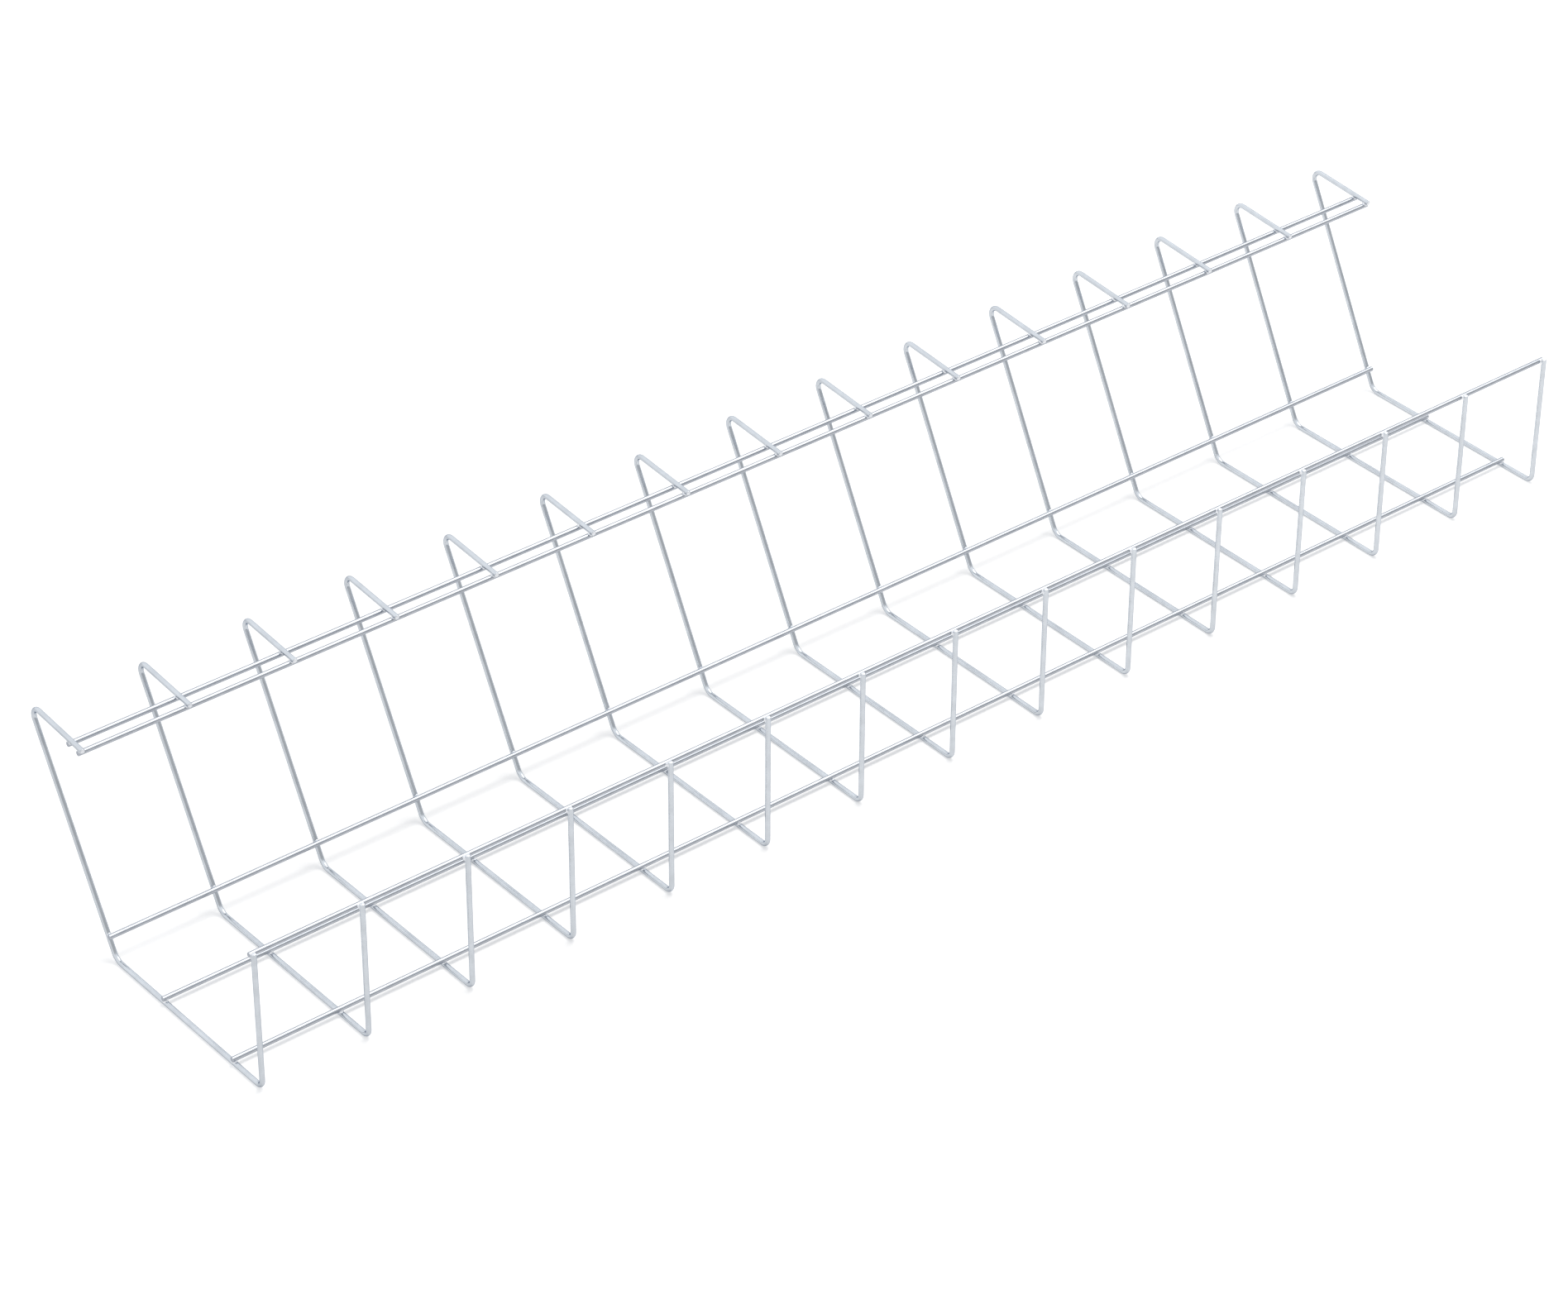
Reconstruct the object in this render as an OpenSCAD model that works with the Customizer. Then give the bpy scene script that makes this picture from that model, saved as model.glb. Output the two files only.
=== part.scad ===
// Wire mesh cable basket: a long open trough of welded round steel wire.
// Bent cross wires (ribs) stand side by side, and straight long wires are
// resistance-welded across their inner side. Both ends of the trough are open.
//
// Frame: +X along the trough, -Y the low front wall, +Y the leaning back wall,
// +Z up. The origin is under the middle of the basket, where it stands.

/* [Basket] */
// Length of the long wires, from cut end to cut end
basket_length = 1250; // [600:10:2400]
// Number of bent cross wires
rib_count = 15; // [4:1:30]
// How far the long wires run past the outer side of the first and last rib, 0 for flush
end_overhang = 0; // [0:0.5:20]

/* [Wire] */
// Diameter of the wire
wire_d = 4; // [3:0.5:6]
// How far two crossing wires are pressed into each other by their weld
weld_set_down = 0.5; // [0.2:0.1:0.8]
// Chamfer on the edge of every cut end
end_chamfer = 0.3; // [0.1:0.1:0.6]
// How much thinner the wire is in a bend, where it is drawn
bend_thinning = 0.04; // [0.02:0.01:0.1]

/* [Rib] */
// Height of the front leg, from the floor leg's centre line to the cut end
front_height = 115; // [60:1:160]
// Depth of the floor leg, between the corners of its centre line
floor_depth = 182.5; // [150:0.5:300]
// Height of the top corner above the floor leg's centre line
back_height = 173.5; // [130:0.5:260]
// Lean of the back leg, away from the trough
back_lean = 27.6; // [5:0.1:35]
// Length of the hook leg, from the top corner to the cut tip
hook_length = 68.5; // [50:0.5:120]
// Drop of the hook leg towards its tip, from level
hook_drop = 4; // [0:0.5:10]

/* [Bends] */
// Inside radius of the bend from the front leg to the floor leg
front_bend_r = 4; // [2:0.5:12]
// Inside radius of the bend from the floor leg to the back leg
back_bend_r = 8; // [2:0.5:12]
// Inside radius of the bend from the back leg to the hook leg
top_bend_r = 5; // [2:0.5:8]

/* [Long wires] */
// Front floor wire, from the front corner to its centre
floor_front_setback = 34.5; // [25:0.5:60]
// Rear floor wire, from the front corner to its centre
floor_rear_setback = 121; // [80:0.5:130]
// Back wall wire, from the back corner up the back leg to its centre
back_wire_rise = 18.4; // [16:0.2:60]
// Outer hook wire, from the hook's cut tip to its centre
hook_wire_inset = 3.7; // [2.5:0.1:10]
// Clear gap between the two hook wires, which takes the fixing screws
screw_gap = 8.7; // [4:0.1:12]

/* [Hidden] */

$fn = 64;
silver = [0.80, 0.81, 0.85];
cut_margin = 1;
// Arc of each bend that runs on inside the end of the leg next to it
bend_lap = 0.2;

rib_pitch = (basket_length - 2 * end_overhang - wire_d) / (rib_count - 1);
crossing = wire_d - weld_set_down;
bend_wire_d = wire_d - bend_thinning;
bend_radii = [0, front_bend_r, back_bend_r, top_bend_r] + [for (k = [0 : 3]) wire_d / 2];

// Corners of the rib's centre line as [depth, height], from the front leg's
// cut end round to the hook's tip. Every bend turns to the left.
front_corner = [0, 0];
back_corner = [floor_depth, 0];
top_corner = back_corner + back_height * [tan(back_lean), 1];
front_tip = [0, front_height];
hook_tip = top_corner - hook_length * [cos(hook_drop), sin(hook_drop)];
rib_path = [front_tip, front_corner, back_corner, top_corner, hook_tip];

// Legs of the rib, numbered by the corner they start from
FRONT = 0;
FLOOR = 1;
BACK = 2;
HOOK = 3;

// Rearmost point of the rib, round the outside of the top bend
rear_reach = bend_centre(HOOK)[0] + bend_radii[HOOK] + bend_wire_d / 2;
mid_depth = (rear_reach - wire_d / 2) / 2;

// Two-digit name of rib number i
function rib_name(i) = str("rib_", i < 10 ? "0" : "", i);

// Unit vector along a leg, and the unit vector to the left of it
function along(leg) = (rib_path[leg + 1] - rib_path[leg]) / norm(rib_path[leg + 1] - rib_path[leg]);
function left(leg) = [-along(leg)[1], along(leg)[0]];
function heading(leg) = atan2(along(leg)[1], along(leg)[0]);
function leg_length(leg) = norm(rib_path[leg + 1] - rib_path[leg]);

// Angle of the bend at a leg's start, and the straight length that it takes from each leg
function bend_turn(leg) = leg == FRONT ? 0 : (heading(leg) - heading(leg - 1) + 360) % 360;
function bend_trim(leg) = leg > HOOK ? 0 : bend_radii[leg] * tan(bend_turn(leg) / 2);
function bend_start(leg) = rib_path[leg] - bend_trim(leg) * along(leg - 1);
function bend_centre(leg) = bend_start(leg) + bend_radii[leg] * left(leg - 1);

// Centre of a long wire welded to the left side of a leg, a given way along it
function seat(leg, distance) = rib_path[leg] + distance * along(leg) + crossing * left(leg);

// Seats of the long wires. The lip wire's top is level with the front leg's cut end.
lip_seat = seat(FRONT, wire_d / 2);
floor_front_seat = seat(FLOOR, floor_front_setback);
floor_rear_seat = seat(FLOOR, floor_rear_setback);
back_seat = seat(BACK, back_wire_rise);
hook_inner_seat = seat(HOOK, hook_length - hook_wire_inset - screw_gap - wire_d);
hook_outer_seat = seat(HOOK, hook_length - hook_wire_inset);
seats = [lip_seat, floor_front_seat, floor_rear_seat, back_seat, hook_inner_seat, hook_outer_seat];

// Places [depth, height] of the rib's plane on the basket's Y and Z, and the plane's normal on X
module in_basket(x) {
    translate([x, -mid_depth, wire_d / 2]) rotate([90, 0, 90]) children();
}

// Straight wire from the origin along +Z, with a chamfer on the ends that are cut
module straight_wire(length, cut_start, cut_end) {
    lower = cut_start ? end_chamfer : 0;
    upper = cut_end ? end_chamfer : 0;
    rotate_extrude()
        polygon([[0, 0], [wire_d / 2 - lower, 0], [wire_d / 2, lower],
                 [wire_d / 2, length - upper], [wire_d / 2 - upper, length], [0, length]]);
}

// Straight part of one leg, between the bends at its two corners
module leg_wire(leg) {
    translate(rib_path[leg] + bend_trim(leg) * along(leg))
        rotate([0, 90, heading(leg)])
            straight_wire(leg_length(leg) - bend_trim(leg) - bend_trim(leg + 1), leg == FRONT, leg == HOOK);
}

// Bend at the start of one leg, as a sector of a ring whose ends lap into both legs
module bend_wire(leg) {
    lap_angle = bend_lap / bend_radii[leg] * 180 / PI;
    translate(bend_centre(leg)) rotate([0, 0, heading(leg - 1) - 90 - lap_angle])
        rotate_extrude(angle = bend_turn(leg) + 2 * lap_angle)
            translate([bend_radii[leg], 0]) circle(d = bend_wire_d);
}

// One bent cross wire, with a saddle pressed into it at each weld
module rib(i) {
    color(silver) in_basket((i - (rib_count + 1) / 2) * rib_pitch)
        difference() {
            union() {
                for (leg = [FRONT : HOOK]) leg_wire(leg);
                for (leg = [FLOOR : HOOK]) bend_wire(leg);
            }
            for (s = seats)
                translate([s[0], s[1], -wire_d / 2 - cut_margin])
                    cylinder(d = wire_d, h = wire_d + 2 * cut_margin);
        }
}

// One straight long wire, centred along the basket on its seat
module long_wire(at_seat) {
    color(silver) in_basket(-basket_length / 2)
        translate(at_seat) straight_wire(basket_length, true, true);
}

// Long wire behind the top of the front legs
module lip_wire() {
    long_wire(lip_seat);
}

// Long wire on the floor, near the front wall
module floor_front_wire() {
    long_wire(floor_front_seat);
}

// Long wire on the floor, past its middle
module floor_rear_wire() {
    long_wire(floor_rear_seat);
}

// Long wire low on the back wall
module back_wire() {
    long_wire(back_seat);
}

// Long wire under the hook, on the back wall's side of the screw gap
module hook_inner_wire() {
    long_wire(hook_inner_seat);
}

// Long wire under the hook's tip
module hook_outer_wire() {
    long_wire(hook_outer_seat);
}

for (i = [1 : rib_count])
    rib(i);
lip_wire();
floor_front_wire();
floor_rear_wire();
back_wire();
hook_inner_wire();
hook_outer_wire();
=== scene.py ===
"""Wire mesh cable basket, finished for rendering.

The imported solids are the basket: 15 bent cross wires and 6 straight long wires.
This script gives them their plated finish, adds the metal squeezed out at each of
the 90 welds and the domed cut ends, and sets up the floor, the light and the camera.
All lengths are in metres, in the frame of the solids.
"""
import math

import bmesh
import bpy
import numpy as np
from mathutils import Matrix, Vector


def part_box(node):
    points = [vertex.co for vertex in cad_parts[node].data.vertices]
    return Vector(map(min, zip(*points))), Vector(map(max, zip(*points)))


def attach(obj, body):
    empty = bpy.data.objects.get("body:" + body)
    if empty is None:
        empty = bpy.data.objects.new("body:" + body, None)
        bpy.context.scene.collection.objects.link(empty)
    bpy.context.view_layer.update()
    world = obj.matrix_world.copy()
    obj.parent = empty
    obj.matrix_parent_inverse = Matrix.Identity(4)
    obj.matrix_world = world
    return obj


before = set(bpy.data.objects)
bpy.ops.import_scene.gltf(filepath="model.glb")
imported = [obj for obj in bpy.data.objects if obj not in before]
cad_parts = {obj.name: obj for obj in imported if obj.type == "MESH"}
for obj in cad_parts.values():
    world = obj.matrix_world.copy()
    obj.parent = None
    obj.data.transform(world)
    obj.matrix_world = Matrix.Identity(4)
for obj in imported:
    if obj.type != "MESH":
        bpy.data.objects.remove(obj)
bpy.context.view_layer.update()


# ---- Cross wires ----
# Fifteen ribs of 4 mm round steel wire, drawn, cut and bent in a press, and zinc
# plated after welding. Bright zinc gives a bluish silver with a soft gloss. The
# plating keeps the fine lines of the drawing die, which run along the wire.

MM = 0.001
RIB_ZINC = ("#C7CCD2", "#D5DAE0")
RIB_ROUGHNESS = (0.13, 0.21)
# Zinc reflects a little less near the rim of the wire, where it is seen at a low angle
RIM_TINT = "#C4CAD4"
MOTTLE_SIZE = 9 * MM
# Die lines are a few hundredths of a millimetre apart, and drawn coarser here so that they show
DIE_LINE_SPACING = 0.4 * MM
DIE_LINE_LENGTH = 45 * MM
PLATING_GRAIN = 0.8 * MM
# Share of the die lines in the change from one zinc colour to the other, of which the mottle is the rest
DIE_LINE_SHARE = 0.4
# Bumps: how strong they are, and how high
DIE_LINE_BUMP = (0.35, 0.02 * MM)
GRAIN_BUMP = (0.3, 0.03 * MM)
# Span that most of a noise texture's values lie in
NOISE_SPAN = (0.3, 0.7)


def linear(hex_colour):
    """sRGB hex value as linear RGBA.

    Each channel c becomes ((c + 0.055) / 1.055) ** 2.4, or c / 12.92 if it is dark.
    """
    channels = [int(hex_colour[i : i + 2], 16) / 255 for i in (1, 3, 5)]
    return [c / 12.92 if c <= 0.04045 else ((c + 0.055) / 1.055) ** 2.4 for c in channels] + [1.0]


def add(tree, kind, settings=None, **inputs):
    """Adds a node of that kind, with its settings, and a value or a link for each input.

    An input is given by its name with _ for a space, or by its number after a _.
    """
    node = tree.nodes.new(kind)
    for name, value in (settings or {}).items():
        setattr(node, name, value)
    for name, value in inputs.items():
        key = int(name[1:]) if name[0] == "_" else name.replace("_", " ")
        if isinstance(value, bpy.types.NodeSocket):
            tree.links.new(value, node.inputs[key])
        else:
            node.inputs[key].default_value = value
    return node


def new_material(name):
    """Empty node material with an output, as (material, tree, output)."""
    material = bpy.data.materials.new(name)
    material.use_nodes = True
    material.node_tree.nodes.clear()
    return material, material.node_tree, material.node_tree.nodes.new("ShaderNodeOutputMaterial")


def between(tree, factor, low, high):
    """Maps a noise value, which stays near its middle, to the span from low to high."""
    mapped = add(tree, "ShaderNodeMapRange", {"interpolation_type": "SMOOTHSTEP"}, Value=factor,
                 From_Min=NOISE_SPAN[0], From_Max=NOISE_SPAN[1], To_Min=low, To_Max=high)
    return mapped.outputs["Result"]


def zinc_plated_wire(name, along, zinc, roughness):
    """Bright zinc over drawn steel wire: a soft gloss with streaks along the wire and a faint mottle.

    along is 1 for each axis that the wire runs along, and 0 for one across it.
    """
    material, tree, output = new_material(name)
    place = add(tree, "ShaderNodeTexCoord").outputs["Object"]
    stretch = [1 / (DIE_LINE_LENGTH if a else DIE_LINE_SPACING) for a in along]
    drawn = add(tree, "ShaderNodeMapping", Vector=place, Scale=stretch).outputs["Vector"]
    die_lines = add(tree, "ShaderNodeTexNoise", Vector=drawn, Scale=1.0, Detail=3.0, Roughness=0.6)
    mottle = add(tree, "ShaderNodeTexNoise", Vector=place, Scale=1 / MOTTLE_SIZE,
                 Detail=4.0, Roughness=0.55)
    grain = add(tree, "ShaderNodeTexNoise", Vector=place, Scale=1 / PLATING_GRAIN, Detail=2.0)
    tone = add(tree, "ShaderNodeMix", {"data_type": "FLOAT"}, Factor=DIE_LINE_SHARE,
               _2=mottle.outputs["Fac"], _3=die_lines.outputs["Fac"]).outputs[0]
    colour = add(tree, "ShaderNodeMix", {"data_type": "RGBA"}, _0=between(tree, tone, 0.0, 1.0),
                 _6=linear(zinc[0]), _7=linear(zinc[1])).outputs[2]
    lines_bump = add(tree, "ShaderNodeBump", Strength=DIE_LINE_BUMP[0], Distance=DIE_LINE_BUMP[1],
                     Height=die_lines.outputs["Fac"])
    bump = add(tree, "ShaderNodeBump", Strength=GRAIN_BUMP[0], Distance=GRAIN_BUMP[1],
               Height=grain.outputs["Fac"], Normal=lines_bump.outputs["Normal"])
    metal = add(tree, "ShaderNodeBsdfPrincipled", Base_Color=colour, Metallic=1.0,
                Roughness=between(tree, die_lines.outputs["Fac"], *roughness),
                Specular_Tint=linear(RIM_TINT), Normal=bump.outputs["Normal"])
    tree.links.new(metal.outputs["BSDF"], output.inputs["Surface"])
    return material


def dress(node, material):
    """Puts a material in every slot of a solid."""
    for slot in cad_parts[node].material_slots:
        slot.material = material


ribs = sorted(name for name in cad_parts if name.startswith("rib_"))
rib_finish = zinc_plated_wire("bright zinc-plated steel, bent wire", (0, 1, 1), RIB_ZINC, RIB_ROUGHNESS)
for rib in ribs:
    dress(rib, rib_finish)


# ---- Long wires ----
# Six straight lengths of 4 mm wire, straightened and cut, and welded across the
# inner side of the ribs. They are given a darker zinc colour and a slightly lower
# roughness than the ribs, and their die lines run along the basket.

STRAIGHT_ZINC = ("#AEB2B9", "#BEC2C9")
STRAIGHT_ROUGHNESS = (0.12, 0.20)

long_wires = sorted(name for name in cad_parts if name.endswith("_wire"))
long_finish = zinc_plated_wire("bright zinc-plated steel, straight wire", (1, 0, 0), STRAIGHT_ZINC,
                               STRAIGHT_ROUGHNESS)
for wire in long_wires:
    dress(wire, long_finish)


# ---- Welds ----
# Each crossing is resistance welded: current melts the wires where they touch, they
# are pressed 0.5 mm into each other, and the squeezed steel sets as a small uneven
# fillet all round the contact. The zinc over it is smooth with soft lumps, and is coloured
# lighter than the wires' zinc as a painted highlight, so that the welds show white.

WIRE_RADIUS = 2 * MM
SET_DOWN = 0.5 * MM
BACK_LEAN = math.radians(27.6)
HOOK_DROP = math.radians(4)
# Way that the leg under each long wire runs, as a heading in the plane across the basket
LEG_HEADING = {
    "lip_wire": -math.pi / 2,
    "floor_front_wire": 0.0,
    "floor_rear_wire": 0.0,
    "back_wire": math.pi / 2 - BACK_LEAN,
    "hook_inner_wire": math.pi + HOOK_DROP,
    "hook_outer_wire": math.pi + HOOK_DROP,
}
FILLET_REACH = 1.4 * MM
# The lip wire is welded at the very end of the front legs, where more metal is squeezed out
LIP_FILLET_REACH = 1.9 * MM
# A fillet's reach and fill are uneven round the weld, and kept within limits
REACH_UNEVENNESS = 0.45
REACH_LIMITS = (0.5, 1.5)
FILL_MEAN = 0.75
FILL_UNEVENNESS = 0.3
FILL_LIMITS = (0.1, 0.95)
# Depth of a fillet's foot below the wire's surface, so that no slit shows
FILLET_SINK = 0.04 * MM
# Way from the weld's middle to the crease at which the fillet is closed inside the wires
CLOSING_SHARE = 0.55
# Width left bare between a fillet and a cut end
END_CLEARANCE = 0.2 * MM
ROUND_STEPS = 40
ARC_STEPS = 8
WELD_SEED = 7
# Zinc on the welds and cut ends, lighter than the wires' zinc: a painted highlight, so that they show
# white
WELD_ZINC_PAINTED_HIGHLIGHT = ("#DCDFE5", "#EEF0F3")
WELD_ROUGHNESS = (0.2, 0.32)
LUMP_SIZE = 1.2 * MM
LUMP_BUMP = (0.6, 0.15 * MM)


def centre(node):
    """Middle of a solid's box."""
    low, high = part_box(node)
    return (low + high) / 2


def weld_fillets(contact, leg, normal, reach, fill, leg_room, wire_room):
    """Rings of squeezed metal round the contacts of crossing wires.

    The result is an array [weld, round, section, xyz]. Round the contact, at each angle, the
    crease between the wires lies near a circle. From there the fillet's foot lies a reach
    further out on each wire, measured on its unrolled surface, but no further than the room
    [back, forward] up to the wire's cut end. The outer side is a quadratic Bezier curve from
    foot to foot, whose middle point is the crease drawn part of the way (fill) to the chord.
    A point inside both wires closes the section.
    """
    half = (2 * WIRE_RADIUS - SET_DOWN) / 2
    crease = math.sqrt(WIRE_RADIUS**2 - (2 * half - WIRE_RADIUS) ** 2)
    angle = np.linspace(0, 2 * np.pi, ROUND_STEPS, endpoint=False)
    across, along = crease * np.cos(angle), crease * np.sin(angle)

    def foot(turned, straight, room):
        """Point on one wire's surface, past the crease by reach.

        It is given as (across the wire, along it, height from its axis).
        """
        arc = WIRE_RADIUS * np.arcsin(turned / WIRE_RADIUS)
        grow = 1 + reach / np.hypot(arc, straight)
        straight = np.clip(straight * grow, -room[:, :1], room[:, 1:])
        radius = WIRE_RADIUS - FILLET_SINK
        turn = arc * grow / WIRE_RADIUS
        return radius * np.sin(turn), straight, radius * np.cos(turn)

    rib_across, rib_along, rib_height = foot(across, along, leg_room)
    wire_along, wire_across, wire_height = foot(along, across, wire_room)
    shape = reach.shape
    start = np.stack([rib_across, rib_along, rib_height - half], -1)
    end = np.stack([wire_across, wire_along, half - wire_height], -1)
    corner = np.stack([np.broadcast_to(across, shape), np.broadcast_to(along, shape),
                       np.zeros(shape)], -1)
    middle = corner + fill[..., None] * ((start + end) / 2 - corner)
    t = np.linspace(0, 1, ARC_STEPS)[:, None]
    curve = ((1 - t) ** 2 * start[..., None, :] + 2 * t * (1 - t) * middle[..., None, :]
             + t**2 * end[..., None, :])
    inside = CLOSING_SHARE * corner[..., None, :]
    local = np.concatenate([curve, inside], axis=2)
    side = np.array([1.0, 0.0, 0.0])
    return (contact[:, None, None] + local[..., :1] * side
            + local[..., 1:2] * leg[:, None, None] + local[..., 2:] * normal[:, None, None])


def ring_faces(count, around, section, closed_section=True):
    """Quads of rings that are closed round their axis, and round their section if that is closed too."""
    steps = section if closed_section else section - 1
    ring, i, j = np.meshgrid(np.arange(count), np.arange(around), np.arange(steps), indexing="ij")
    first = ring * around * section
    here, beyond = first + i * section, first + (i + 1) % around * section
    after = (j + 1) % section
    return np.stack([here + j, beyond + j, beyond + after, here + after], -1).reshape(-1, 4)


def mesh_piece(name, vertices, quads, material):
    """New smooth mesh object at the origin, with its place in its mesh."""
    mesh = bpy.data.meshes.new(name)
    mesh.from_pydata(vertices.tolist(), [], quads.tolist())
    mesh.materials.append(material)
    mesh.shade_smooth()
    piece = bpy.data.objects.new(name, mesh)
    bpy.context.scene.collection.objects.link(piece)
    return piece


def waves(random, count, angle, orders):
    """Smooth uneven value round each weld.

    It is a sum of cosines of the angle times each order, of random height and phase.
    """
    total = np.zeros((count, len(angle)))
    for order in orders:
        height = random.normal(0, 1 / len(orders), (count, 1))
        total += height * np.cos(order * angle + random.uniform(0, 2 * np.pi, (count, 1)))
    return total


def weld_zinc_painted_highlight():
    """Zinc on metal that was molten: smoother than the wire, with soft lumps, and coloured lighter than
    the wire as a painted highlight.
    """
    material, tree, output = new_material("zinc-plated steel, weld, lightened as painted highlight")
    place = add(tree, "ShaderNodeTexCoord").outputs["Object"]
    lumps = add(tree, "ShaderNodeTexNoise", Vector=place, Scale=1 / LUMP_SIZE, Detail=3.0)
    tone = between(tree, lumps.outputs["Fac"], 0.0, 1.0)
    colour = add(tree, "ShaderNodeMix", {"data_type": "RGBA"}, _0=tone,
                 _6=linear(WELD_ZINC_PAINTED_HIGHLIGHT[0]), _7=linear(WELD_ZINC_PAINTED_HIGHLIGHT[1])).outputs[2]
    bump = add(tree, "ShaderNodeBump", Strength=LUMP_BUMP[0], Distance=LUMP_BUMP[1],
               Height=lumps.outputs["Fac"])
    roughness = between(tree, lumps.outputs["Fac"], *WELD_ROUGHNESS)
    metal = add(tree, "ShaderNodeBsdfPrincipled", Base_Color=colour, Metallic=1.0,
                Roughness=roughness, Normal=bump.outputs["Normal"])
    tree.links.new(metal.outputs["BSDF"], output.inputs["Surface"])
    return material


contacts, legs, normals, reaches, leg_rooms, wire_rooms = [], [], [], [], [], []
for wire in long_wires:
    heading = LEG_HEADING[wire]
    leg = Vector((0, math.cos(heading), math.sin(heading)))
    normal = Vector((0, -math.sin(heading), math.cos(heading)))
    seat = centre(wire) - (WIRE_RADIUS - SET_DOWN / 2) * normal
    for rib in ribs:
        contacts.append((centre(rib).x, seat.y, seat.z))
        legs.append(leg)
        normals.append(normal)
        reaches.append(LIP_FILLET_REACH if wire == "lip_wire" else FILLET_REACH)
        # The front leg ends level with the top of the lip wire, and the long wires end flush with the
        # outer ribs, so the fillets stop at their cut edges
        leg_rooms.append((WIRE_RADIUS - END_CLEARANCE if wire == "lip_wire" else np.inf, np.inf))
        wire_rooms.append((centre(rib).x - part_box(wire)[0].x - END_CLEARANCE,
                           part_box(wire)[1].x - centre(rib).x - END_CLEARANCE))

random = np.random.default_rng(WELD_SEED)
weld_count = len(contacts)
round_angle = np.linspace(0, 2 * np.pi, ROUND_STEPS, endpoint=False)
uneven_reach = REACH_UNEVENNESS * waves(random, weld_count, round_angle, (1, 2, 3, 5))
reach = np.array(reaches)[:, None] * np.clip(1 + uneven_reach, *REACH_LIMITS)
uneven_fill = FILL_UNEVENNESS * waves(random, weld_count, round_angle, (1, 2, 4))
fill = np.clip(FILL_MEAN + uneven_fill, *FILL_LIMITS)
rings = weld_fillets(np.array(contacts), np.array(legs), np.array(normals), reach, fill,
                     np.array(leg_rooms), np.array(wire_rooms))
quads = ring_faces(*rings.shape[:3])
welds = mesh_piece("weld_fillets", rings.reshape(-1, 3), quads, weld_zinc_painted_highlight())
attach(welds, "root")


# ---- Cut ends ----
# The ribs are sheared to length. The welds beside the front legs' ends and the hook
# tips leave them slightly domed. The domes take the welds' lighter zinc, a painted highlight.

# From the outer hook wire's middle to the hook tips
HOOK_INSET = 3.7 * MM
DOME_RADIUS = 1.85 * MM
DOME_HEIGHT = 0.45 * MM
# Most that a dome's rim stands up or down by, and how the way it leans turns with that, in radians
DOME_TILT = 0.12 * MM
TILT_TURN = 9 / DOME_HEIGHT
DOME_RINGS = 7


def cut_end_domes(tips, outward, tilt):
    """Shallow domes over cut ends, as an array [end, round, profile, xyz].

    At a share q of the rim's radius, the dome stands DOME_HEIGHT * (1 - q**2) proud of the cut
    face, plus q * tilt * cosine of the angle round it, turned by TILT_TURN * tilt. It is closed
    by a point inside the wire.
    """
    q = np.linspace(0, 1, DOME_RINGS)
    angle = np.linspace(0, 2 * np.pi, ROUND_STEPS, endpoint=False)[:, None]
    side = np.array([1.0, 0.0, 0.0])
    other = np.cross(outward, side)[:, None, None]
    tilt = tilt[:, None, None]
    lean = tilt * q * np.cos(angle + TILT_TURN * tilt)
    proud = (DOME_HEIGHT * (1 - q**2) + lean)[..., None] * outward[:, None, None]
    domes = (tips[:, None, None] + DOME_RADIUS * (q * np.cos(angle))[..., None] * side
             + DOME_RADIUS * (q * np.sin(angle))[..., None] * other + proud)
    inside = np.broadcast_to((tips - DOME_HEIGHT * outward)[:, None, None], domes[:, :, :1].shape)
    return np.concatenate([domes, inside], axis=2)


def merge_poles(piece):
    """Joins the points that share a place, so that each surface closes at its poles."""
    shape = bmesh.new()
    shape.from_mesh(piece.data)
    bmesh.ops.remove_doubles(shape, verts=shape.verts, dist=0.001 * MM)
    bmesh.ops.recalc_face_normals(shape, faces=shape.faces)
    shape.to_mesh(piece.data)
    shape.free()


hook_heading = LEG_HEADING["hook_outer_wire"]
hook_leg = Vector((0, math.cos(hook_heading), math.sin(hook_heading)))
hook_normal = Vector((0, -hook_leg.z, hook_leg.y))
over_wire = (2 * WIRE_RADIUS - SET_DOWN) * hook_normal
hook_tip = centre("hook_outer_wire") - over_wire + HOOK_INSET * hook_leg
front_tip_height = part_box("lip_wire")[1].z
tips, outward = [], []
for rib in ribs:
    tips.append((centre(rib).x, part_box(rib)[0].y + WIRE_RADIUS, front_tip_height))
    outward.append((0, 0, 1))
    tips.append((centre(rib).x, hook_tip.y, hook_tip.z))
    outward.append(hook_leg)
tilt = random.uniform(0, DOME_TILT, len(tips))
domes = cut_end_domes(np.array(tips), np.array(outward), tilt)
dome_faces = ring_faces(*domes.shape[:3], closed_section=False)
# The domes take the welds' zinc, which is coloured lighter as a painted highlight
cut_ends = mesh_piece("cut_end_domes", domes.reshape(-1, 3), dome_faces, welds.data.materials[0])
merge_poles(cut_ends)
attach(cut_ends, "root")


# ---- Floor ----
# A plain white studio sweep. It takes the basket's soft shadow. What the camera
# sees of it is part paper and part glow, so it is white without more light.

FLOOR_SIZE = 24.0
FLOOR_COLOUR = "#F7F7F7"
# The paper as camera and glossy rays see it, and the glow that each of them adds
SEEN_COLOUR = "#D4D4D4"
SEEN_GLOW = 0.46
REFLECTED_GLOW = 0.36
# Glow added away from the basket, where the light falls off, and the distances over which it comes in
EDGE_GLOW = 0.20
EDGE_SPAN = (0.3, 1.1)
FIBRE_SIZE = 3 * MM
FIBRE_BUMP = (0.05, 0.05 * MM)


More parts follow.
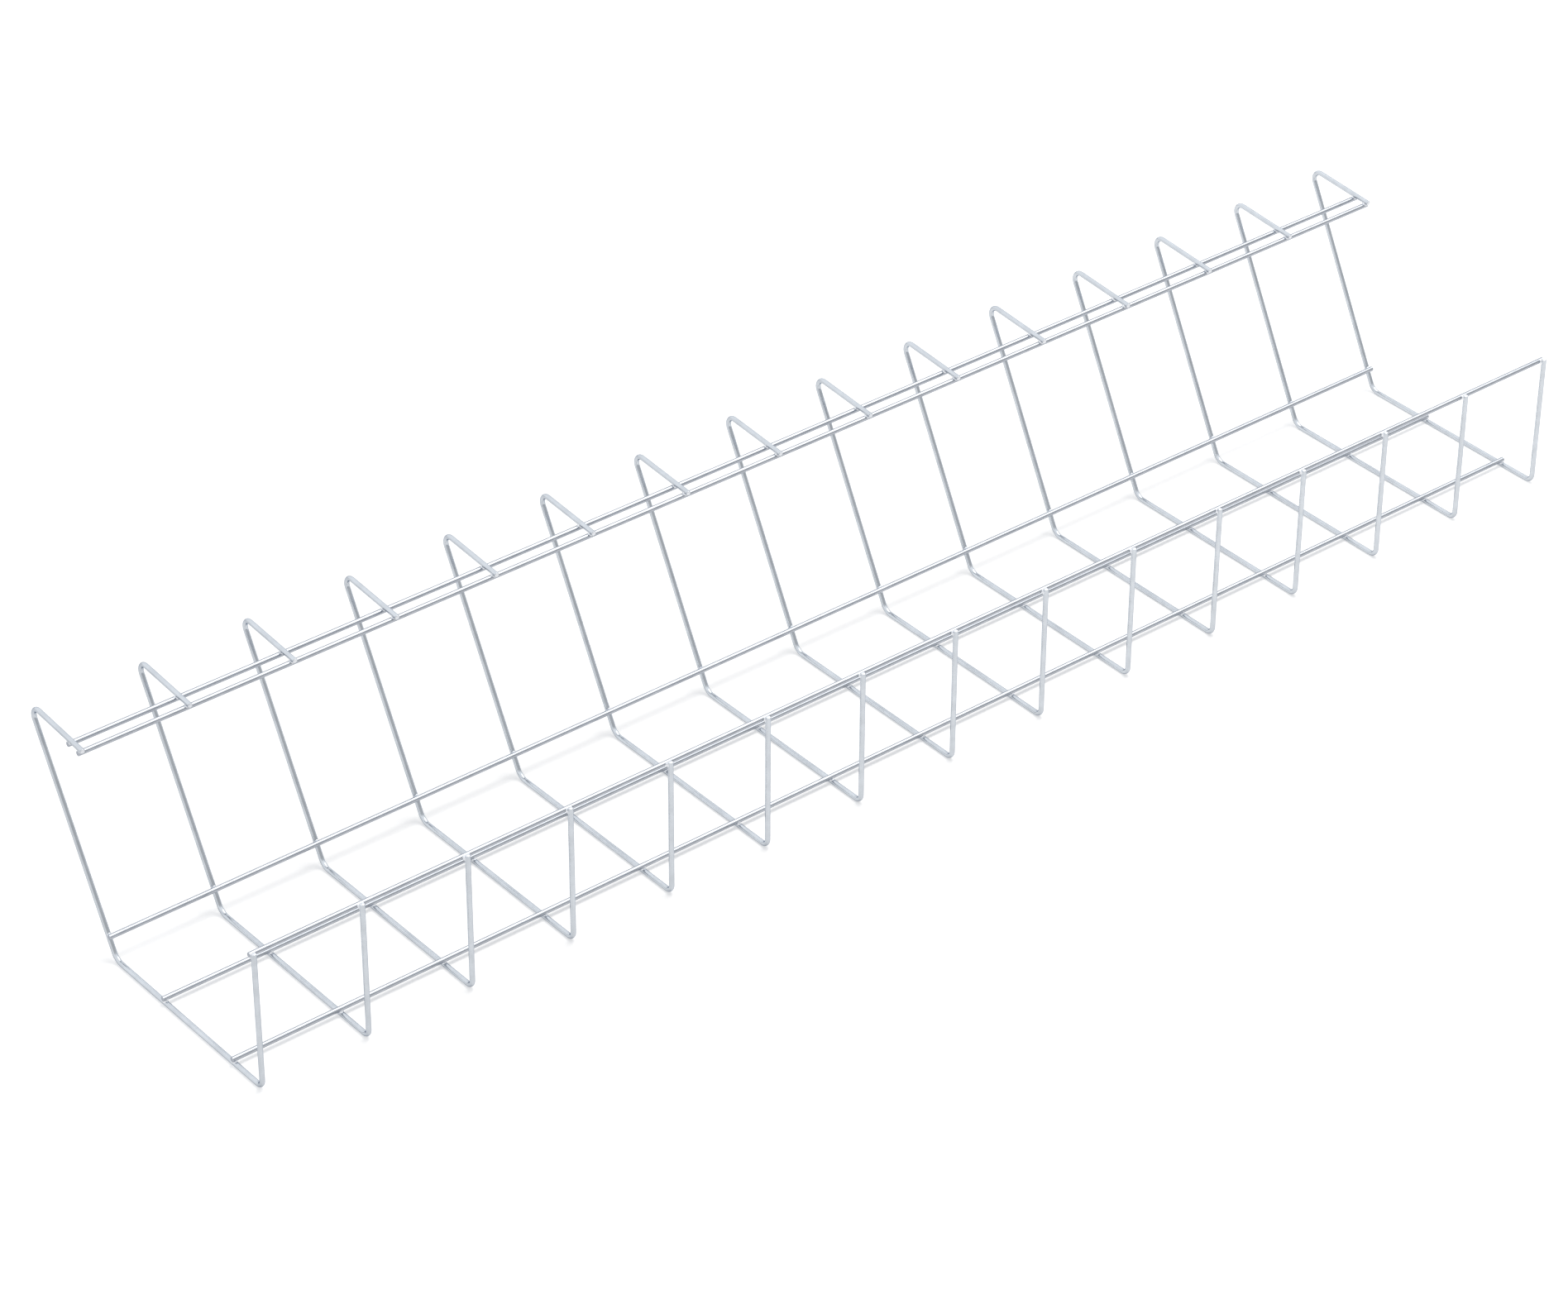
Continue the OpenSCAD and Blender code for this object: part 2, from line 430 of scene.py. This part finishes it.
def white_sweep():
    """Matt white paper, which camera and glossy rays see as greyer paper with a glow."""
    material, tree, output = new_material("matt white paper")
    ray = add(tree, "ShaderNodeLightPath")
    place = add(tree, "ShaderNodeTexCoord").outputs["Object"]
    distance = add(tree, "ShaderNodeVectorMath", {"operation": "LENGTH"}, _0=place)
    seen_glow = add(tree, "ShaderNodeMapRange", {"interpolation_type": "SMOOTHSTEP"},
                    Value=distance.outputs["Value"], From_Min=EDGE_SPAN[0], From_Max=EDGE_SPAN[1],
                    To_Min=SEEN_GLOW, To_Max=SEEN_GLOW + EDGE_GLOW)
    seen = add(tree, "ShaderNodeMath", {"operation": "MAXIMUM"},
               _0=ray.outputs["Is Camera Ray"], _1=ray.outputs["Is Glossy Ray"]).outputs["Value"]
    to_camera = add(tree, "ShaderNodeMath", {"operation": "MULTIPLY"},
                    _0=ray.outputs["Is Camera Ray"], _1=seen_glow.outputs["Result"])
    strength = add(tree, "ShaderNodeMath", {"operation": "MULTIPLY_ADD"}, _0=ray.outputs["Is Glossy Ray"],
                   _1=REFLECTED_GLOW, _2=to_camera.outputs["Value"])
    colour = add(tree, "ShaderNodeMix", {"data_type": "RGBA"}, _0=seen,
                 _6=linear(FLOOR_COLOUR), _7=linear(SEEN_COLOUR)).outputs[2]
    fibre = add(tree, "ShaderNodeTexNoise", Vector=place, Scale=1 / FIBRE_SIZE, Detail=2.0)
    bump = add(tree, "ShaderNodeBump", Strength=FIBRE_BUMP[0], Distance=FIBRE_BUMP[1],
               Height=fibre.outputs["Fac"])
    paper = add(tree, "ShaderNodeBsdfDiffuse", Color=colour, Normal=bump.outputs["Normal"])
    glow = add(tree, "ShaderNodeEmission", Strength=strength.outputs["Value"])
    both = add(tree, "ShaderNodeAddShader", _0=paper.outputs["BSDF"], _1=glow.outputs["Emission"])
    tree.links.new(both.outputs["Shader"], output.inputs["Surface"])
    # The glow is only seen, so it isn't sampled as a lamp
    material.cycles.emission_sampling = "NONE"
    return material


half_floor = FLOOR_SIZE / 2
floor_corners = np.array([(-1, -1, 0), (1, -1, 0), (1, 1, 0), (-1, 1, 0)]) * half_floor
floor = mesh_piece("floor", floor_corners, np.array([[0, 1, 2, 3]]), white_sweep())


# ---- Light ----
# A softbox hangs over the basket and a weaker one past each end, in a pale room. The
# room is darker low on the camera's side, which draws the dark line along the wires.

# The room as it lights the paper (fill), and as the metal mirrors it
FILL_LEVEL = 0.32
FILL_COLOUR = (0.93, 0.99, 1.10, 1.0)
ROOM_LEVEL = 1.10
ROOM_COLOUR = (0.985, 1.0, 1.015, 1.0)
DARK_SIDE_LEVEL = 0.55
DARK_SIDE_HEADING = math.radians(8)
# The dark side fades upwards between two heights, 1 being overhead, and sideways between
# two cosines of the angle to its heading
DARK_SIDE_HEIGHTS = (0.28, 0.66)
DARK_SIDE_COSINES = (0.72, 0.32)
LAMP_COLOUR = (1.03, 1.0, 0.94)
# Each softbox: its shape, its middle, its length and width, and its radiance
SOFTBOXES = {
    "top_softbox": ("RECTANGLE", (0.45, 0, 2.9), 1.8, 1.2, 5.2),
    "right_softbox": ("ELLIPSE", (1.7, 0, 3.0), 3.2, 3.2, 2.0),
    "left_softbox": ("ELLIPSE", (-2.1, 0, 3.0), 1.8, 1.8, 1.8),
}


def smooth_step(tree, value, start, stop):
    """0 before start, 1 past stop, and a smooth change between them."""
    step = add(tree, "ShaderNodeMapRange", {"interpolation_type": "SMOOTHSTEP"},
               Value=value, From_Min=start, From_Max=stop)
    return step.outputs["Result"]


world = bpy.data.worlds.new("studio")
bpy.context.scene.world = world
world.use_nodes = True
# The room differs with the kind of ray, so it isn't sampled as one lamp
world.cycles.sampling_method = "NONE"
room = world.node_tree
room.nodes.clear()
direction = add(room, "ShaderNodeTexCoord").outputs["Generated"]
height = add(room, "ShaderNodeSeparateXYZ", Vector=direction).outputs["Z"]
toward_dark = (math.sin(DARK_SIDE_HEADING), -math.cos(DARK_SIDE_HEADING), 0)
facing = add(room, "ShaderNodeVectorMath", {"operation": "DOT_PRODUCT"}, _0=direction, _1=toward_dark)
high = smooth_step(room, height, *DARK_SIDE_HEIGHTS)
beside = smooth_step(room, facing.outputs["Value"], *DARK_SIDE_COSINES)
bright = add(room, "ShaderNodeMath", {"operation": "MAXIMUM"}, _0=high, _1=beside)
level = add(room, "ShaderNodeMapRange", Value=bright.outputs["Value"],
            To_Min=DARK_SIDE_LEVEL, To_Max=ROOM_LEVEL)
walls = add(room, "ShaderNodeBackground", Strength=level.outputs["Result"])
soft_fill = add(room, "ShaderNodeBackground", Strength=FILL_LEVEL)
backdrop = add(room, "ShaderNodeBackground", Strength=1.0)
walls.inputs["Color"].default_value = ROOM_COLOUR
soft_fill.inputs["Color"].default_value = FILL_COLOUR
backdrop.inputs["Color"].default_value = (1, 1, 1, 1)
ray = add(room, "ShaderNodeLightPath")
reflected = add(room, "ShaderNodeMixShader", _0=ray.outputs["Is Glossy Ray"],
                _1=soft_fill.outputs["Background"], _2=walls.outputs["Background"])
seen_room = add(room, "ShaderNodeMixShader", _0=ray.outputs["Is Camera Ray"],
                _1=reflected.outputs["Shader"], _2=backdrop.outputs["Background"])
add(room, "ShaderNodeOutputWorld", Surface=seen_room.outputs["Shader"])

for name, (shape, middle, length, width, radiance) in SOFTBOXES.items():
    softbox = bpy.data.lights.new(name, "AREA")
    softbox.shape = shape
    softbox.size = length
    softbox.size_y = width
    area = length * width * (math.pi / 4 if shape == "ELLIPSE" else 1)
    softbox.energy = radiance * math.pi * area
    softbox.color = LAMP_COLOUR
    lamp = bpy.data.objects.new(name, softbox)
    lamp.location = middle
    # The wires' highlights come from the right softbox, and the others would burn them out
    lamp.visible_glossy = name == "right_softbox"
    bpy.context.scene.collection.objects.link(lamp)


# ---- Camera ----
# A long lens, high to the left of the front, looking down along the basket. Its lens
# and sensor are in millimetres, as the camera takes them.

CAMERA_LENS = 115.5
SENSOR_WIDTH = 36
CAMERA_TARGET = Vector((-48.3, 6.6, 50.4)) * MM
CAMERA_DISTANCE = 3.8108
CAMERA_HEADING = math.radians(39.36)
CAMERA_ELEVATION = math.radians(34.10)
CAMERA_ROLL = math.radians(0.37)

view = Vector((
    math.cos(CAMERA_ELEVATION) * math.sin(CAMERA_HEADING),
    math.cos(CAMERA_ELEVATION) * math.cos(CAMERA_HEADING),
    -math.sin(CAMERA_ELEVATION)))
camera_data = bpy.data.cameras.new("camera")
camera_data.lens = CAMERA_LENS
camera_data.sensor_width = SENSOR_WIDTH
camera = bpy.data.objects.new("camera", camera_data)
turn = view.to_track_quat("-Z", "Y").to_matrix().to_4x4() @ Matrix.Rotation(CAMERA_ROLL, 4, "Z")
camera.matrix_world = Matrix.Translation(CAMERA_TARGET - CAMERA_DISTANCE * view) @ turn
bpy.context.scene.collection.objects.link(camera)
bpy.context.scene.camera = camera
bpy.context.scene.view_settings.view_transform = "Standard"
